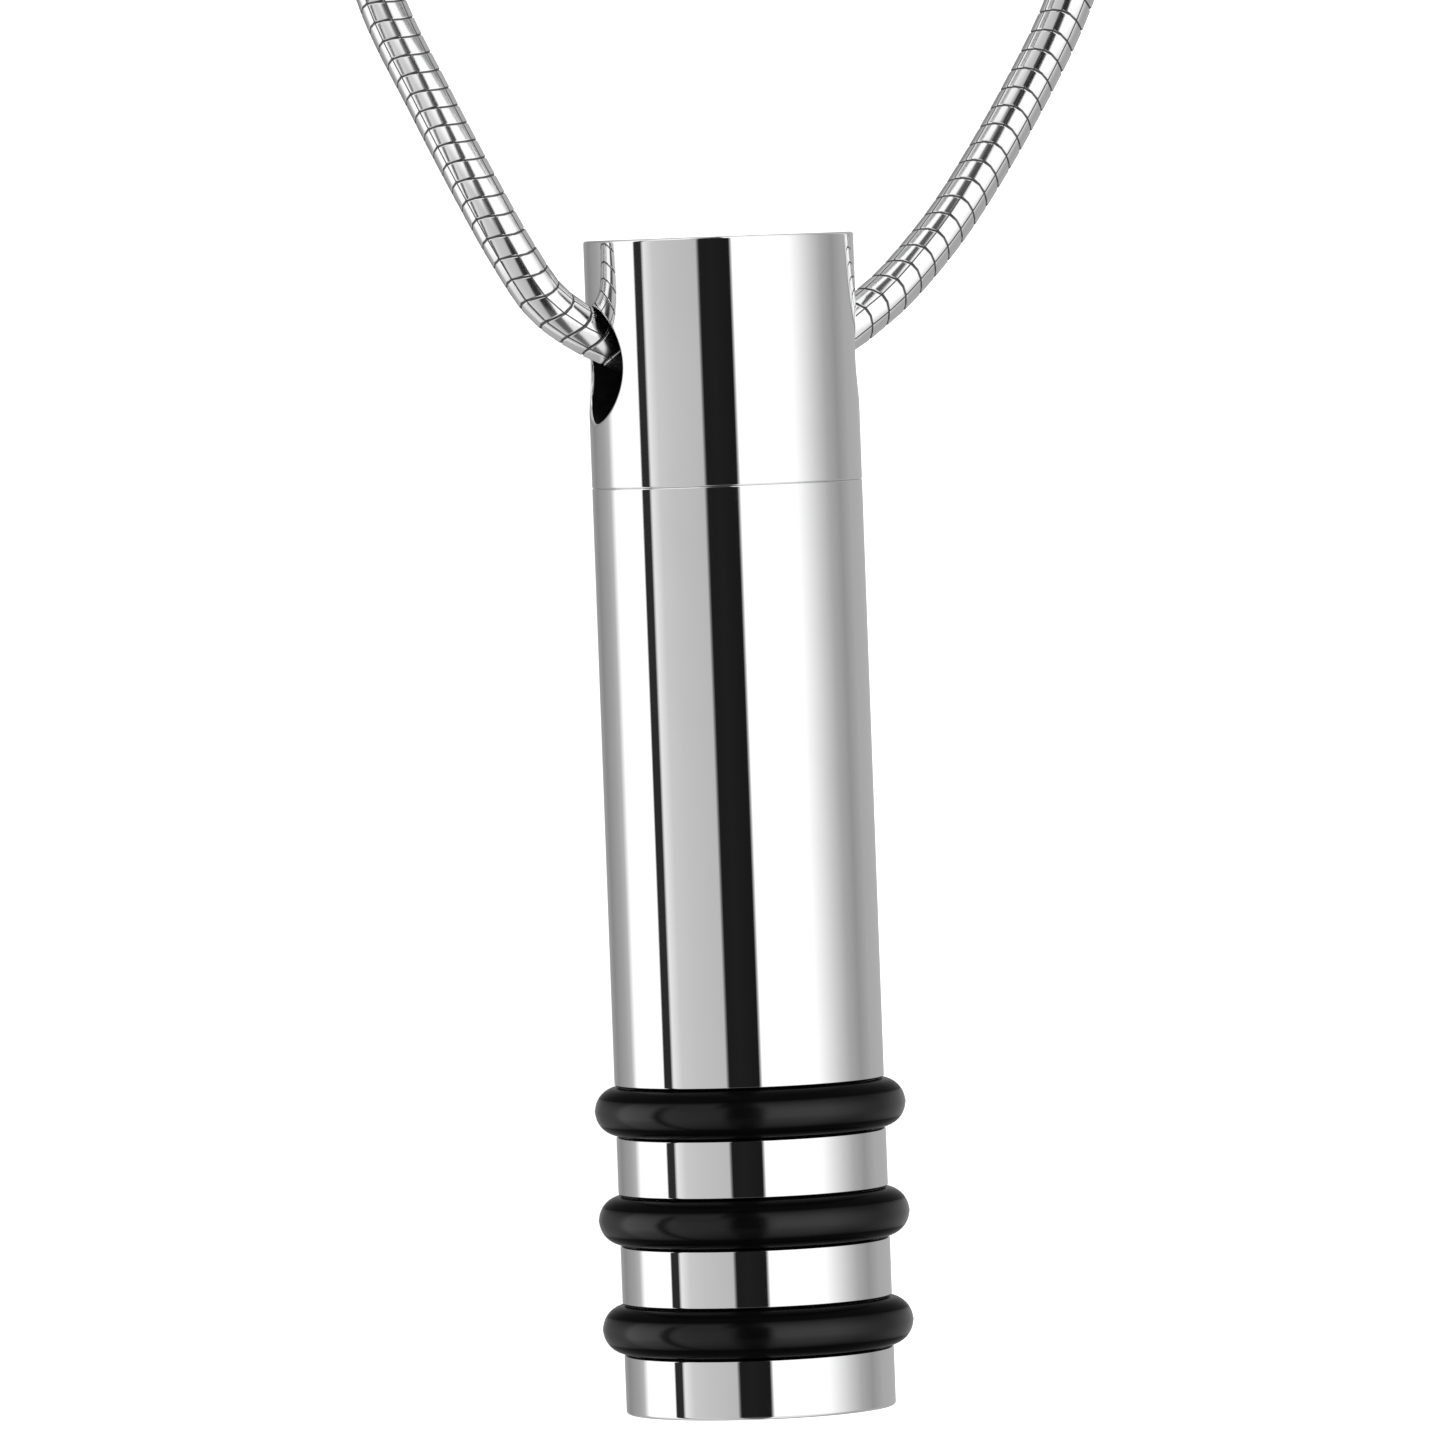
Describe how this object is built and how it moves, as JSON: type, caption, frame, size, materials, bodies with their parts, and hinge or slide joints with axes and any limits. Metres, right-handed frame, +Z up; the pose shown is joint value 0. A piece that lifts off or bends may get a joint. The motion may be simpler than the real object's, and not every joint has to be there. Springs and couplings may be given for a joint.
{
  "type": "capsule pendant",
  "caption": "Slim mirror-polished screw capsule pendant with a hidden chamber, rubber grip rings near its base and a snake chain through a cross hole in its cap.",
  "frame": {"origin": "on the surface the capsule lies on, under the middle of the closed capsule's length", "axes": "+Y along the capsule from its base to its cap, +Z up from the surface, +X to the right when seen from above with the cap at the top"},
  "size_m": [0.0296, 0.0813, 0.0115],
  "materials": {
    "polished_steel": "mirror-polished stainless steel",
    "turned_steel": "fine turned stainless steel",
    "black_rubber": "smooth semi-matt black nitrile rubber",
    "seal_rubber": "matt black nitrile rubber",
    "chain_steel": "polished stainless steel snake chain",
    "clasp_steel": "tumble-polished stainless steel",
    "spring_steel": "drawn spring wire"
  },
  "bodies": {
    "cap_and_chain": {"cap": "polished_steel", "cap_stud": "turned_steel", "chain_run": "chain_steel", "coil_lower": "chain_steel", "coil_upper": "chain_steel", "chain_tail_left": "chain_steel", "chain_tail_right": "chain_steel", "end_cap_left": "clasp_steel", "end_cap_right": "clasp_steel", "clasp_body": "clasp_steel", "clasp_pin": "clasp_steel", "clasp_spring": "spring_steel"},
    "seal": {"seal_ring": "seal_rubber"},
    "barrel": {"barrel": "polished_steel", "o_ring_top": "black_rubber", "o_ring_middle": "black_rubber", "o_ring_bottom": "black_rubber"},
    "clasp_lever": {"clasp_lever": "clasp_steel"},
    "jump_ring": {"jump_ring": "clasp_steel"},
    "catch_ring": {"catch_ring": "clasp_steel"}
  },
  "joints": [
    {"name": "screw_travel", "type": "slide", "parent": "cap_and_chain", "child": "seal", "axis": [0, -1, 0], "range_m": [0, 0.0045]},
    {"name": "barrel_turn", "type": "hinge", "parent": "seal", "child": "barrel", "pos_m": [0, 0.0126, 0.00576], "axis": [0, -1, 0], "range_deg": [0, 2160]},
    {"name": "clasp_lever_open", "type": "hinge", "parent": "cap_and_chain", "child": "clasp_lever", "pos_m": [-0.001, 0.05355, 0.0052], "axis": [0, 0, 1], "range_deg": [0, 13], "stiffness_Nm_per_rad": 0.002, "springref_deg": -5.73},
    {"name": "jump_ring_tilt", "type": "hinge", "parent": "cap_and_chain", "child": "jump_ring", "pos_m": [-0.0054, 0.05445, 0.0052], "axis": [1, 0, 0], "range_deg": [-12, 12]},
    {"name": "catch_ring_tilt", "type": "hinge", "parent": "cap_and_chain", "child": "catch_ring", "pos_m": [0.0059, 0.05445, 0.0052], "axis": [1, 0, 0], "range_deg": [-7, 7]}
  ],
  "couplings": [
    {"joint": "screw_travel", "follows": "barrel_turn", "m_per_rad": 0.00011937}
  ]
}
